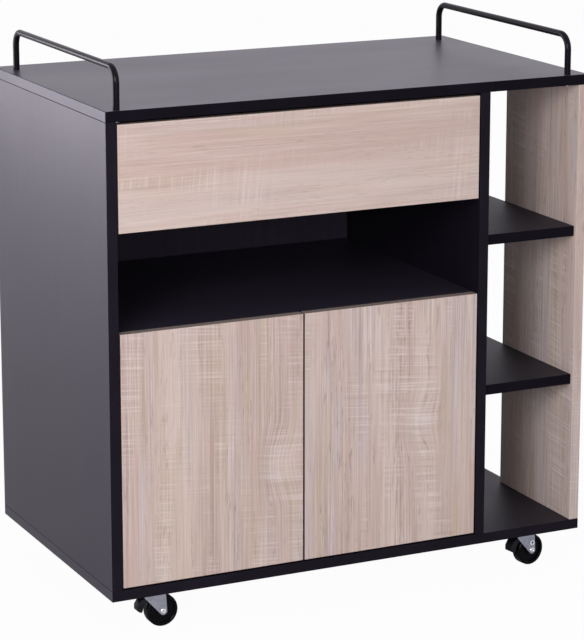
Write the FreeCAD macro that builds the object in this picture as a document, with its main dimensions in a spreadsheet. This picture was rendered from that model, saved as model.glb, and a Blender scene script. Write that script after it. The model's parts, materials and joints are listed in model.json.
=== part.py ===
"""Kitchen cart on four swivel casters: black boards, oak fronts, a drawer, two doors and open side shelves.

The frame has its origin on the floor under the middle of the cart: +X to the right, +Y to the back, +Z up.
"""
import FreeCAD, Part
import os
import types

import Sketcher
from FreeCAD import Placement, Rotation, Vector

# Driving dimensions, in millimetres. Each one is a cell of the sheet.
SIZES = {
    # Carcass
    "cart_width": 800,
    "cart_depth": 466,
    "worktop_height": 795,
    "caster_height": 62,
    "board": 16,
    "front_board": 16,
    "cupboard_width": 595.5,
    "right_panel_depth": 221,
    "side_shelf_setback": 6,
    "back_thick": 3,
    "back_inset": 14,
    "back_tongue": 5,
    "fit": 0.3,
    "running_fit": 0.05,
    "overrun": 1,
    # Fronts
    "front_setback": 0.5,
    "front_gap": 2,
    "door_gap": 2.4,
    "door_bottom_gap": 3,
    "door_height": 386,
    "drawer_top_gap": 4,
    "drawer_front_height": 159,
    # Shelves behind the doors
    "shelf_drop": 0.5,
    "shelf_behind_door": 2,
    "cupboard_shelf_height": 178,
    "cupboard_shelf_setback": 90,
    "cupboard_shelf_play": 1,
    "pin_diameter": 5,
    "pin_length": 16,
    "pin_inset": 45,
    # Knock-down fittings
    "cam_diameter": 15,
    "cam_depth": 12.5,
    "cam_distance": 24,
    "cam_bolt_diameter": 6,
    "cam_bolt_grip": 10,
    "dowel_diameter": 8,
    "dowel_length": 28,
    "dowel_grip": 10,
    "joint_inset": 62,
    "dowel_offset": 32,
    "side_shelf_dowel_inset": 50,
    "side_shelf_dowel_spacing": 110,
    # Handles
    "handle_rod": 10,
    "handle_rise": 65,
    "handle_front_inset": 13,
    "handle_rear_inset": 41,
    "left_handle_inset": 22,
    "right_handle_inset": 30,
    "handle_bend": 22,
    "handle_socket": 3,
    "handle_screw": 5,
    "handle_screw_grip": 14,
    "handle_screw_head": 9,
    "handle_screw_head_height": 2.5,
    # Drawer
    "runner_width": 13,
    "drawer_side": 12,
    "drawer_side_height": 100,
    "drawer_side_lift": 22,
    "drawer_length": 380,
    "drawer_bottom": 3,
    "drawer_bottom_lift": 8,
    "drawer_groove": 5,
    "drawer_dowel": 6,
    "drawer_dowel_length": 24,
    "drawer_dowel_grip": 10,
    "drawer_dowel_margin": 24,
    "drawer_screw": 4,
    "drawer_screw_length": 34,
    "drawer_screw_head": 7.5,
    "drawer_screw_head_height": 2.5,
    "drawer_screw_margin": 22,
    # Ball-bearing runners
    "rail_length": 350,
    "rail_inset": 4,
    "rail_height": 35,
    "rail_flange": 9.5,
    "rail_steel": 1.2,
    "drawer_rail_height": 25,
    "drawer_rail_flange": 8.7,
    "cage_web_gap": 0.7,
    "cage_steel": 0.8,
    "cage_flange": 6.6,
    "cage_length": 90,
    "cage_offset": 130,
    "ball_diameter": 3.2,
    "ball_reach": 4.1,
    "ball_pitch": 15,
    "rail_screw": 3.5,
    "rail_screw_head": 6,
    "rail_screw_length": 9,
    "rail_screw_inset": 30,
    # Door hinges
    "cup_diameter": 35,
    "cup_depth": 11.3,
    "cup_edge": 5,
    "cup_wall": 1,
    "cup_flange": 1.2,
    "cup_flange_width": 22,
    "cup_flange_height": 62,
    "cup_stop": 3,
    "cup_stop_rise": 6.6,
    "cup_stop_height": 14,
    "cup_screw": 3.5,
    "cup_screw_head": 7,
    "cup_screw_head_height": 1.5,
    "cup_screw_spacing": 48,
    "cup_screw_grip": 10,
    "hinge_inset": 80,
    "link_pivot_in": 3,
    "link_pivot_back": 20.5,
    "link_pin": 2.5,
    "link_eye": 5,
    "link_reach": 30,
    "link_height": 12,
    "arm_ear": 1.5,
    "arm_ear_width": 5.6,
    "arm_ear_nose": 2.7,
    "arm_ear_length": 12,
    "arm_bar": 6,
    "arm_bar_length": 44,
    "hinge_plate": 3,
    "hinge_plate_back": 40,
    "hinge_plate_length": 32,
    "hinge_plate_height": 40,
    "hinge_screw": 3.5,
    "hinge_screw_head": 7,
    "hinge_screw_head_height": 2,
    "hinge_screw_spacing": 28,
    "hinge_screw_grip": 11,
    # Casters
    "caster_inset_x": 80,
    "caster_inset_y": 40,
    "caster_plate": 42,
    "caster_plate_steel": 2,
    "race_diameter": 30,
    "race_height": 4,
    "kingpin": 8,
    "kingpin_head": 13,
    "kingpin_head_height": 1.5,
    "fork_steel": 2,
    "fork_top_width": 34,
    "fork_tip": 6,
    "fork_skirt": 6,
    "fork_tip_back": 5,
    "fork_tip_fall": 3.5,
    "trail": 13,
    "wheel_diameter": 50,
    "wheel_width": 18,
    "wheel_edge": 2.5,
    "wheel_rim": 5,
    "wheel_web": 11,
    "hub_diameter": 17,
    "hub_proud": 0.6,
    "axle": 6,
    "axle_head": 9.5,
    "axle_head_height": 1.6,
    "caster_screw": 4,
    "caster_screw_head": 8,
    "caster_screw_head_height": 2.5,
    "caster_screw_spacing": 32,
    "caster_screw_grip": 12,
    "pedal_length": 30,
    "pedal_width": 17,
    "pedal_pivot_back": 9,
    "pedal_pivot_drop": 9,
    "pedal_trunnion": 4,
    "pedal_trunnion_hold": 1.2,
}

# Outlines as shares of one size, listed point by point around the piece.
LINK_SHARES = ((0.03, -0.02), (0.137, 0.14), (0.62, 0.187), (0.893, 0.033), (0.967, -0.333),
               (1.027, -0.333), (0.96, 0.067), (0.64, 0.247), (0.097, 0.197), (-0.03, 0.02))
PEDAL_SHARES = ((0.13, 0.1), (-0.1, 0.13), (-0.43, -0.06), (-0.6, -0.32), (-0.6, -0.59), (-0.4, -0.71),
                (-0.32, -0.59), (-0.27, -0.36), (-0.13, -0.21), (0.03, -0.17))

# The yaw of each caster about its kingpin as photographed, in degrees; a hidden caster stands straight.
CASTER_TURN_DEG = {"front_left": 0, "front_right": 10, "rear_left": 0, "rear_right": 0}
BRAKED_CASTERS = ("front_left", "front_right")
BALLS_PER_ROW = 6

UP, DOWN = Vector(0, 0, 1), Vector(0, 0, -1)
RIGHT, LEFT = Vector(1, 0, 0), Vector(-1, 0, 0)
BACK, FRONT = Vector(0, 1, 0), Vector(0, -1, 0)


class Length:
    """A length that is both an expression on the sheet and its present value."""

    def __init__(self, text, value):
        self.text = text
        self.value = value

    def __add__(self, other):
        other = length(other)
        return Length(f"({self.text} + {other.text})", self.value + other.value)

    def __sub__(self, other):
        other = length(other)
        return Length(f"({self.text} - {other.text})", self.value - other.value)

    def __mul__(self, share):
        return Length(f"({self.text} * {share})", self.value * share)

    def __truediv__(self, share):
        return Length(f"({self.text} / {share})", self.value / share)

    def __neg__(self):
        return Length(f"(-1 * {self.text})", -self.value)

    __rmul__ = __mul__
    __radd__ = __add__


def length(item):
    """Zero as a Length, and a Length as it is."""
    return item if isinstance(item, Length) else Length(str(item), item)


doc = FreeCAD.newDocument("kitchen_cart")
sheet = doc.addObject("Spreadsheet::Sheet", "sizes")
for row, (alias, value) in enumerate(SIZES.items(), 1):
    sheet.set(f"A{row}", alias.replace("_", " "))
    sheet.set(f"B{row}", str(value))
    sheet.setAlias(f"B{row}", alias)
doc.recompute()
d = types.SimpleNamespace(**{alias: Length(f"sizes.{alias}", value) for alias, value in SIZES.items()})
nodes = {}


def bind(piece, **lengths):
    """Bind properties of a piece to lengths of the sheet."""
    for name, item in lengths.items():
        piece.setExpression(name, length(item).text)


def place(piece, x, y, z, turn=None):
    """Place a piece at a bound point, turned by a fixed rotation."""
    piece.Placement = Placement(Vector(), turn or Rotation())
    for axis, item in zip("xyz", (x, y, z)):
        piece.setExpression(f"Placement.Base.{axis}", length(item).text)
    return piece


def box(x, y, z, wide, deep, high):
    """A block with its low corner at a point."""
    piece = doc.addObject("Part::Box", "Block")
    bind(piece, Length=wide, Width=deep, Height=high)
    return place(piece, x, y, z)


def rod(x, y, z, along, diameter, long):
    """A round rod from a point along a direction."""
    piece = doc.addObject("Part::Cylinder", "Rod")
    bind(piece, Radius=diameter / 2, Height=long)
    return place(piece, x, y, z, Rotation(UP, along))


def ball(x, y, z, diameter):
    """A ball about a point."""
    piece = doc.addObject("Part::Sphere", "Ball")
    bind(piece, Radius=diameter / 2)
    return place(piece, x, y, z)


def elbow(x, y, z, turn, bend, diameter):
    """A quarter bend of a rod about a point."""
    piece = doc.addObject("Part::Torus", "Elbow")
    bind(piece, Radius1=bend, Radius2=diameter / 2)
    piece.Angle3 = 90
    return place(piece, x, y, z, turn)


def fuse(pieces):
    """Several pieces joined into one solid."""
    if len(pieces) == 1:
        return pieces[0]
    piece = doc.addObject("Part::MultiFuse", "Joined")
    piece.Shapes = pieces
    return piece


def cut(base, tools):
    """A piece with every tool taken out of it."""
    if not tools:
        return base
    piece = doc.addObject("Part::Cut", "Shaped")
    piece.Base = base
    piece.Tool = fuse(tools)
    return piece


def group(pieces):
    """Separate solids kept together."""
    piece = doc.addObject("Part::Compound", "Group")
    piece.Links = pieces
    return piece


def node(name, piece):
    """Name a finished sub-part."""
    piece.Label = name
    nodes[name] = piece
    return piece


def outline(plane, points):
    """A body with a closed sketch of straight lines on one of its origin planes."""
    body = doc.addObject("PartDesign::Body", "Body")
    sketch = body.newObject("Sketcher::SketchObject", "Outline")
    support = next(item for item in body.Origin.OriginFeatures if item.Role == plane)
    sketch.AttachmentSupport = [(support, "")]
    sketch.MapMode = "FlatFace"
    corners = [(length(x), length(y)) for x, y in points]
    spots = [Vector(x.value, y.value, 0) for x, y in corners]
    for start, end in zip(spots, spots[1:] + spots[:1]):
        sketch.addGeometry(Part.LineSegment(start, end), False)
    for index, (x, y) in enumerate(corners):
        following = (index + 1) % len(corners)
        sketch.addConstraint(Sketcher.Constraint("Coincident", index, 2, following, 1))
        for kind, item in (("DistanceX", x), ("DistanceY", y)):
            number = sketch.addConstraint(Sketcher.Constraint(kind, -1, 1, index, 1, item.value))
            sketch.setExpression(f"Constraints[{number}]", item.text)
    return body, sketch


def padded(plane, points, high, reverse=False):
    """An outline raised to a solid."""
    body, sketch = outline(plane, points)
    pad = body.newObject("PartDesign::Pad", "Raised")
    pad.Profile = sketch
    pad.Reversed = reverse
    bind(pad, Length=high)
    return body


def turned(plane, points):
    """An outline turned about the sketch's upright axis."""
    body, sketch = outline(plane, points)
    turn = body.newObject("PartDesign::Revolution", "Turned")
    turn.Profile = sketch
    turn.ReferenceAxis = (sketch, ["V_Axis"])
    turn.Angle = 360
    return body


def step(point, along, far):
    """The point that lies a length along a direction from another."""
    return tuple(item + far * part if part else item for item, part in zip(point, along))


def screw(point, into, shank, grip, head, head_height):
    """A screw whose head sits on a point and whose shank goes in."""
    return fuse([rod(*point, into, shank, grip), rod(*point, -into, head, head_height)])


def hole(point, into, diameter, deep):
    """A clear hole for a round piece, open a little above its mouth."""
    return rod(*step(point, into, -d.overrun), into, diameter + d.fit * 2, deep + d.overrun + d.fit)


# Main planes of the carcass
left = -d.cart_width / 2
right = d.cart_width / 2
front = -d.cart_depth / 2
back = d.cart_depth / 2
deck = d.caster_height + d.board
ceiling = d.worktop_height - d.board
inner_height = ceiling - deck
inner_left = left + d.board
divider_left = inner_left + d.cupboard_width
divider_right = divider_left + d.board
inner_right = right - d.board
front_face = front + d.front_setback
front_rear = front_face + d.front_board
back_face = back - d.back_inset - d.back_thick
door_bottom = deck + d.door_bottom_gap
door_top = door_bottom + d.door_height

# Each board starts as a block and collects the holes and grooves cut in it.
side_gap = (inner_height - d.board * 2) / 3
lower_shelf = deck + side_gap
upper_shelf = lower_shelf + d.board + side_gap
side_bay = inner_right - divider_right
side_shelf_depth = d.cart_depth - d.side_shelf_setback * 2
shelf_front = front_rear + d.shelf_behind_door
shelf_top = door_top - d.shelf_drop
shelf_back = back_face - d.fit
blocks = {
    "top_panel": box(left, front, ceiling, d.cart_width, d.cart_depth, d.board),
    "bottom_panel": box(left, front, d.caster_height, d.cart_width, d.cart_depth, d.board),
    "left_side_panel": box(left, front, deck, d.board, d.cart_depth, inner_height),
    "divider_panel": box(divider_left, front, deck, d.board, d.cart_depth, inner_height),
    "right_side_panel": box(inner_right, front, deck, d.board, d.right_panel_depth, inner_height),
    "compartment_shelf": box(
        inner_left, shelf_front, shelf_top - d.board, d.cupboard_width, shelf_back - shelf_front, d.board
    ),
    "upper_side_shelf": box(
        divider_right, front + d.side_shelf_setback, upper_shelf, side_bay, side_shelf_depth, d.board
    ),
    "lower_side_shelf": box(
        divider_right, front + d.side_shelf_setback, lower_shelf, side_bay, side_shelf_depth, d.board
    ),
}
cuts = {name: [] for name in blocks}

# Back panel, held by its edges in grooves around the left section
tongue = d.back_tongue - d.fit
node("back_panel", box(
    inner_left - tongue, back_face, deck - tongue,
    d.cupboard_width + tongue * 2, d.back_thick, inner_height + tongue * 2,
))
groove = box(
    inner_left - d.back_tongue, back_face - d.fit, deck - d.back_tongue,
    d.cupboard_width + d.back_tongue * 2, d.back_thick + d.fit * 2, inner_height + d.back_tongue * 2,
)
for name in ("top_panel", "bottom_panel", "left_side_panel", "divider_panel"):
    cuts[name].append(groove)

# Loose shelf in the cupboard, on four pins
loose_front = front + d.cupboard_shelf_setback
loose_height = deck + d.cupboard_shelf_height
node("cupboard_shelf", box(
    inner_left + d.cupboard_shelf_play, loose_front, loose_height,
    d.cupboard_width - d.cupboard_shelf_play * 2, shelf_back - d.cupboard_shelf_play - loose_front, d.board,
))
pins = []
for wall, board, into in ((inner_left, "left_side_panel", LEFT), (divider_left, "divider_panel", RIGHT)):
    for deep in (loose_front + d.pin_inset, shelf_back - d.pin_inset):
        mouth = (wall, deep, loose_height - d.pin_diameter / 2)
        pins.append(rod(*step(mouth, into, -d.pin_length / 2), into, d.pin_diameter, d.pin_length))
        cuts[board].append(hole(mouth, into, d.pin_diameter, d.pin_length / 2))
node("shelf_pins", group(pins))

# Knock-down fittings: cams with their bolts, and dowels beside them
cams, bolts, dowels = [], [], []


def add_dowel(end, receiver, point, into):
    """A dowel across the joint between a board's end and another board's face."""
    start = step(point, into, d.dowel_grip - d.dowel_length)
    dowels.append(rod(*start, into, d.dowel_diameter, d.dowel_length))
    cuts[end].append(hole(point, -into, d.dowel_diameter, d.dowel_length - d.dowel_grip))
    cuts[receiver].append(hole(point, into, d.dowel_diameter, d.dowel_grip))


def add_cam(end, receiver, point, into, mouth, bore):
    """A cam in a board's end, bored from a face, and the bolt that it draws."""
    centre = step(point, into, -d.cam_distance)
    seat = tuple(face if side else here for face, here, side in zip(mouth, centre, bore))
    cams.append(rod(*seat, bore, d.cam_diameter, d.cam_depth))
    cuts[end].append(hole(seat, bore, d.cam_diameter, d.cam_depth))
    reach = d.cam_distance - d.cam_diameter / 2 - d.fit
    start = step(point, into, -reach)
    bolts.append(rod(*start, into, d.cam_bolt_diameter, reach + d.cam_bolt_grip))
    cuts[end].append(hole(point, -into, d.cam_bolt_diameter, d.cam_distance))
    cuts[receiver].append(hole(point, into, d.cam_bolt_diameter, d.cam_bolt_grip))


joint_depths = ((front + d.joint_inset, 1), (back - d.joint_inset, -1))
for board, middle, mouth, bore in (
    ("left_side_panel", left + d.board / 2, inner_left, LEFT),
    ("divider_panel", divider_left + d.board / 2, divider_left, RIGHT),
):
    for receiver, height, into in (("top_panel", ceiling, UP), ("bottom_panel", deck, DOWN)):
        for deep, inward in joint_depths:
            add_cam(board, receiver, (middle, deep, height), into, (mouth, deep, height), bore)
            add_dowel(board, receiver, (middle, deep + d.dowel_offset * inward, height), into)
for receiver, height, into in (("top_panel", ceiling, UP), ("bottom_panel", deck, DOWN)):
    for deep in (front + d.dowel_offset, front + d.right_panel_depth - d.dowel_offset):
        add_dowel("right_side_panel", receiver, (right - d.board / 2, deep, height), into)
shelf_middle = shelf_top - d.board / 2
for receiver, wall, into in (("left_side_panel", inner_left, LEFT), ("divider_panel", divider_left, RIGHT)):
    for deep, inward in joint_depths:
        spot = (wall, deep, shelf_middle)
        add_cam("compartment_shelf", receiver, spot, into, (wall, deep, shelf_top - d.board), UP)
        add_dowel("compartment_shelf", receiver, (wall, deep + d.dowel_offset * inward, shelf_middle), into)
for shelf, height in (("upper_side_shelf", upper_shelf), ("lower_side_shelf", lower_shelf)):
    for receiver, wall, into in (
        ("divider_panel", divider_right, LEFT),
        ("right_side_panel", inner_right, RIGHT),
    ):
        for count in range(2):
            deep = front + d.side_shelf_dowel_inset + d.side_shelf_dowel_spacing * count
            add_dowel(shelf, receiver, (wall, deep, height + d.board / 2), into)
node("cam_locks", group(cams))
node("cam_bolts", group(bolts))
node("wooden_dowels", group(dowels))

# Handles: bent rods that stand in shallow sockets and are screwed from below
handle_screws = []
handle_base = d.worktop_height - d.handle_socket
bar_height = d.worktop_height + d.handle_rise - d.handle_rod / 2
bend_height = bar_height - d.handle_bend
front_post = front + d.handle_front_inset
rear_post = back - d.handle_rear_inset
for name, across in (
    ("left_handle", left + d.left_handle_inset),
    ("right_handle", right - d.right_handle_inset),
):
    pieces = []
    for post, inward, outward in ((front_post, 1, FRONT), (rear_post, -1, BACK)):
        pieces.append(rod(across, post, handle_base, UP, d.handle_rod, bend_height - handle_base))
        quarter = Rotation(outward, UP, outward.cross(UP))
        bend_centre = post + d.handle_bend * inward
        pieces.append(elbow(across, bend_centre, bend_height, quarter, d.handle_bend, d.handle_rod))
        under = (across, post, ceiling)
        handle_screws.append(screw(
            under, UP, d.handle_screw, d.handle_screw_grip + d.board - d.handle_socket,
            d.handle_screw_head, d.handle_screw_head_height,
        ))
        cuts["top_panel"].append(hole(under, UP, d.handle_screw, d.board))
        mouth = (across, post, d.worktop_height)
        cuts["top_panel"].append(hole(mouth, DOWN, d.handle_rod, d.handle_socket - d.fit))
    pieces.append(rod(
        across, front_post + d.handle_bend, bar_height, BACK, d.handle_rod,
        rear_post - front_post - d.handle_bend * 2,
    ))
    threads = [
        hole((across, post, handle_base), UP, d.handle_screw, d.handle_screw_grip)
        for post in (front_post, rear_post)
    ]
    node(name, cut(fuse(pieces), threads))
node("handle_screws", group(handle_screws))

# Drawer
drawer_left = inner_left + d.runner_width
drawer_right = divider_left - d.runner_width
drawer_z = ceiling - d.drawer_top_gap - d.drawer_front_height
box_z = drawer_z + d.drawer_side_lift
box_top = box_z + d.drawer_side_height
box_back = front_rear + d.drawer_length
bottom_z = box_z + d.drawer_bottom_lift
inside_left = drawer_left + d.drawer_side
inside_right = drawer_right - d.drawer_side
drawer = {
    "drawer_front": box(
        inner_left + d.front_gap, front_face, drawer_z,
        d.cupboard_width - d.front_gap * 2, d.front_board, d.drawer_front_height,
    ),
    "drawer_left_side": box(
        drawer_left, front_rear, box_z, d.drawer_side, d.drawer_length, d.drawer_side_height
    ),
    "drawer_right_side": box(
        inside_right, front_rear, box_z, d.drawer_side, d.drawer_length, d.drawer_side_height
    ),
    "drawer_back": box(
        inside_left, box_back - d.drawer_side, bottom_z + d.drawer_bottom,
        inside_right - inside_left, d.drawer_side, box_top - bottom_z - d.drawer_bottom,
    ),
}
drawer_cuts = {name: [] for name in drawer}
groove_hold = d.drawer_groove - d.fit
node("drawer_bottom", box(
    inside_left - groove_hold, front_rear - groove_hold, bottom_z,
    inside_right - inside_left + groove_hold * 2, d.drawer_length + groove_hold, d.drawer_bottom,
))
bottom_groove = box(
    inside_left - d.drawer_groove, front_rear - d.drawer_groove, bottom_z - d.fit,
    inside_right - inside_left + d.drawer_groove * 2, d.drawer_length + d.drawer_groove + d.overrun,
    d.drawer_bottom + d.fit * 2,
)
for name in ("drawer_front", "drawer_left_side", "drawer_right_side"):
    drawer_cuts[name].append(bottom_groove)
drawer_dowels, drawer_screws = [], []
for side, outer, middle, into in (
    ("drawer_left_side", drawer_left, drawer_left + d.drawer_side / 2, RIGHT),
    ("drawer_right_side", drawer_right, drawer_right - d.drawer_side / 2, LEFT),
):
    for height in (box_z + d.drawer_dowel_margin, box_top - d.drawer_dowel_margin):
        spot = (middle, front_rear, height)
        rear_grip = d.drawer_dowel_length - d.drawer_dowel_grip
        drawer_dowels.append(rod(*step(spot, BACK, rear_grip), FRONT, d.drawer_dowel, d.drawer_dowel_length))
        drawer_cuts["drawer_front"].append(hole(spot, FRONT, d.drawer_dowel, d.drawer_dowel_grip))
        drawer_cuts[side].append(hole(spot, BACK, d.drawer_dowel, rear_grip))
    for height in (box_z + d.drawer_screw_margin, box_top - d.drawer_screw_margin):
        mouth = (outer, box_back - d.drawer_side / 2, height)
        seat = step(mouth, into, d.drawer_screw_head_height)
        drawer_screws.append(screw(
            seat, into, d.drawer_screw, d.drawer_screw_length, d.drawer_screw_head, d.drawer_screw_head_height
        ))
        drawer_cuts[side].append(hole(mouth, into, d.drawer_screw_head, d.drawer_screw_head_height - d.fit))
        drawer_cuts[side].append(hole(mouth, into, d.drawer_screw, d.drawer_side))
        drawer_cuts["drawer_back"].append(hole(seat, into, d.drawer_screw, d.drawer_screw_length))
node("drawer_dowels", group(drawer_dowels))
node("drawer_screws", group(drawer_screws))

# Ball-bearing runners: a fixed rail, a drawer rail and a ball cage between them on each side
rail_start = front_rear + d.rail_inset
rail_height = box_z + d.drawer_side_height / 2
rail_screws, drawer_rail_screws = [], []


def channel(sign, near, far, steel, high, flange):
    """The outline of a channel whose web stands at near and whose flanges reach towards far."""
    half = high / 2
    inside = near + steel * far
    tip = near + flange * far
    corners = ((near, -half), (tip, -half), (tip, steel - half), (inside, steel - half),
               (inside, half - steel), (tip, half - steel), (tip, half), (near, half))
    return [(x * sign, y) for x, y in corners]


for side, sign, wall, board, box_side, outward in (
    ("left", 1, inner_left, "left_side_panel", "drawer_left_side", LEFT),
    ("right", -1, divider_left, "divider_panel", "drawer_right_side", RIGHT),
):
    fixed = padded(
        "XZ_Plane",
        channel(sign, length(0), 1, d.rail_steel, d.rail_height, d.rail_flange),
        d.rail_length, True,
    )
    place(fixed, wall, rail_start, rail_height)
    moving = padded(
        "XZ_Plane",
        channel(sign, d.runner_width, -1, d.rail_steel, d.drawer_rail_height, d.drawer_rail_flange),
        d.rail_length, True,
    )
    place(moving, wall, rail_start, rail_height)
    lane = (d.rail_height / 2 - d.rail_steel + d.drawer_rail_height / 2) / 2
    cage_web = d.rail_steel + d.cage_web_gap
    cage = padded(
        "XZ_Plane",
        channel(sign, cage_web, 1, d.cage_steel, lane * 2 + d.cage_steel, d.cage_flange),
        d.cage_length, True,
    )
    cage_start = rail_start + d.cage_offset
    place(cage, wall, cage_start, rail_height)
    first_ball = cage_start + d.cage_length / 2 - d.ball_pitch * (BALLS_PER_ROW - 1) / 2
    across = wall + (cage_web + d.ball_reach) * sign
    balls = [
        ball(across, first_ball + d.ball_pitch * count, rail_height + lane * row, d.ball_diameter)
        for row in (1, -1)
        for count in range(BALLS_PER_ROW)
    ]
    node(f"{side}_ball_cage", fuse([cage] + balls))
    web_face = wall + d.runner_width * sign
    fixed_holes, moving_holes = [], []
    for deep in (rail_start + d.rail_screw_inset, rail_start + d.rail_length - d.rail_screw_inset):
        spot = (wall, deep, rail_height)
        rail_screws.append(screw(
            spot, outward, d.rail_screw, d.rail_screw_length, d.rail_screw_head, d.rail_steel
        ))
        fixed_holes.append(hole(spot, -outward, d.rail_screw_head, d.rail_steel))
        cuts[board].append(hole(spot, outward, d.rail_screw, d.rail_screw_length))
        spot = (web_face, deep, rail_height)
        drawer_rail_screws.append(screw(
            spot, -outward, d.rail_screw, d.rail_screw_length, d.rail_screw_head, d.rail_steel
        ))
        moving_holes.append(hole(spot, outward, d.rail_screw_head, d.rail_steel))
        drawer_cuts[box_side].append(hole(spot, -outward, d.rail_screw, d.rail_screw_length))
    node(f"{side}_cabinet_rail", cut(fixed, fixed_holes))
    node(f"{side}_drawer_rail", cut(moving, moving_holes))
node("rail_screws", group(rail_screws))
node("drawer_rail_screws", group(drawer_rail_screws))
for name, block in drawer.items():
    node(name, cut(block, drawer_cuts[name]))

# Doors and their concealed hinges
door_width = (d.cupboard_width - d.front_gap * 2 - d.door_gap) / 2
hinge_arms, hinge_plates, hinge_screws = [], [], []
for side, sign, edge, wall, board, outward in (
    ("left", 1, inner_left + d.front_gap, inner_left, "left_side_panel", LEFT),
    ("right", -1, divider_left - d.front_gap, divider_left, "divider_panel", RIGHT),
):
    low_corner = edge if sign > 0 else edge - door_width
    door = box(low_corner, front_face, door_bottom, door_width, d.front_board, d.door_height)
    bores, cups, cup_screws, links = [], [], [], []

    def span(near, wide, start=edge, way=sign):
        """The low side of a block that reaches from the door's hinge edge inwards."""
        return start + near if way > 0 else start - near - wide

    for height in (door_bottom + d.hinge_inset, door_top - d.hinge_inset):
        middle = edge + (d.cup_edge + d.cup_diameter / 2) * sign
        mouth = (middle, front_rear, height)
        bores.append(hole(mouth, FRONT, d.cup_diameter - d.fit * 2, d.cup_depth))
        body = rod(*mouth, FRONT, d.cup_diameter - d.fit * 2, d.cup_depth)
        flange = box(
            middle - d.cup_flange_width / 2, front_rear, height - d.cup_flange_height / 2,
            d.cup_flange_width, d.cup_flange, d.cup_flange_height,
        )
        rim = step(mouth, BACK, d.cup_flange + d.overrun)
        hollow = rod(
            *rim, FRONT, d.cup_diameter - d.fit * 2 - d.cup_wall * 2,
            d.cup_depth + d.cup_flange + d.overrun - d.cup_wall,
        )
        flange_holes = []
        for away in (1, -1):
            seat = (middle, front_rear + d.cup_flange, height + d.cup_screw_spacing / 2 * away)
            cup_screws.append(screw(
                seat, FRONT, d.cup_screw, d.cup_screw_grip, d.cup_screw_head, d.cup_screw_head_height
            ))
            flange_holes.append(hole(seat, FRONT, d.cup_screw, d.cup_flange))
            bores.append(hole(seat, FRONT, d.cup_screw, d.cup_screw_grip))
        stop_near = d.link_pivot_in + d.link_reach * max(x for x, y in LINK_SHARES)
        stop = box(
            span(stop_near, d.cup_stop), front_rear - d.cup_depth + d.cup_wall / 2,
            height - d.cup_stop_height / 2, d.cup_stop, d.cup_stop_rise, d.cup_stop_height,
        )
        cups.append(fuse([cut(fuse([body, flange]), [hollow] + flange_holes), stop]))

        pivot_x = edge + d.link_pivot_in * sign
        pivot_y = front_face + d.link_pivot_back
        low = height - d.link_height / 2
        link_points = [(d.link_reach * x * sign, d.link_reach * y) for x, y in LINK_SHARES]
        strip = padded("XY_Plane", link_points, d.link_height)
        place(strip, pivot_x, pivot_y, low)
        eye = rod(pivot_x, pivot_y, low, UP, d.link_eye, d.link_height)
        pin_bore = rod(
            pivot_x, pivot_y, low - d.overrun, UP,
            d.link_pin + d.running_fit * 2, d.link_height + d.overrun * 2,
        )
        links.append(cut(fuse([strip, eye]), [pin_bore]))

        ear_gap = d.link_height + d.fit * 2
        arm_height = ear_gap + d.arm_ear * 2
        ear_front = pivot_y - d.arm_ear_nose
        bar_front = ear_front + d.arm_ear_length
        plate_face = d.hinge_plate - d.front_gap
        ears = [
            box(
                span(d.link_pivot_in - d.arm_ear_width / 2, d.arm_ear_width), ear_front, base,
                d.arm_ear_width, d.arm_ear_length, d.arm_ear,
            )
            for base in (height - arm_height / 2, height + ear_gap / 2)
        ]
        bar = box(
            span(plate_face, d.arm_bar), bar_front, height - arm_height / 2,
            d.arm_bar, d.arm_bar_length, arm_height,
        )
        pin = rod(pivot_x, pivot_y, height - arm_height / 2, UP, d.link_pin, arm_height)
        hinge_arms.append(fuse(ears + [bar, pin]))

        plate_start = front_face + d.hinge_plate_back
        plate = box(
            span(-d.front_gap, d.hinge_plate), plate_start, height - d.hinge_plate_height / 2,
            d.hinge_plate, d.hinge_plate_length, d.hinge_plate_height,
        )
        plate_holes = []
        for away in (1, -1):
            seat = (
                edge + plate_face * sign, plate_start + d.hinge_plate_length / 2,
                height + d.hinge_screw_spacing / 2 * away,
            )
            hinge_screws.append(screw(
                seat, outward, d.hinge_screw, d.hinge_screw_grip + d.hinge_plate,
                d.hinge_screw_head, d.hinge_screw_head_height,
            ))
            plate_holes.append(hole(seat, outward, d.hinge_screw, d.hinge_plate))
            cuts[board].append(hole(seat, outward, d.hinge_screw, d.hinge_screw_grip + d.hinge_plate))
        hinge_plates.append(cut(plate, plate_holes))
    node(f"{side}_door", cut(door, bores))
    node(f"{side}_hinge_cups", group(cups))
    node(f"{side}_cup_screws", group(cup_screws))
    node(f"{side}_hinge_links", group(links))
node("hinge_arms", group(hinge_arms))
node("hinge_plates", group(hinge_plates))
node("hinge_screws", group(hinge_screws))

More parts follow.
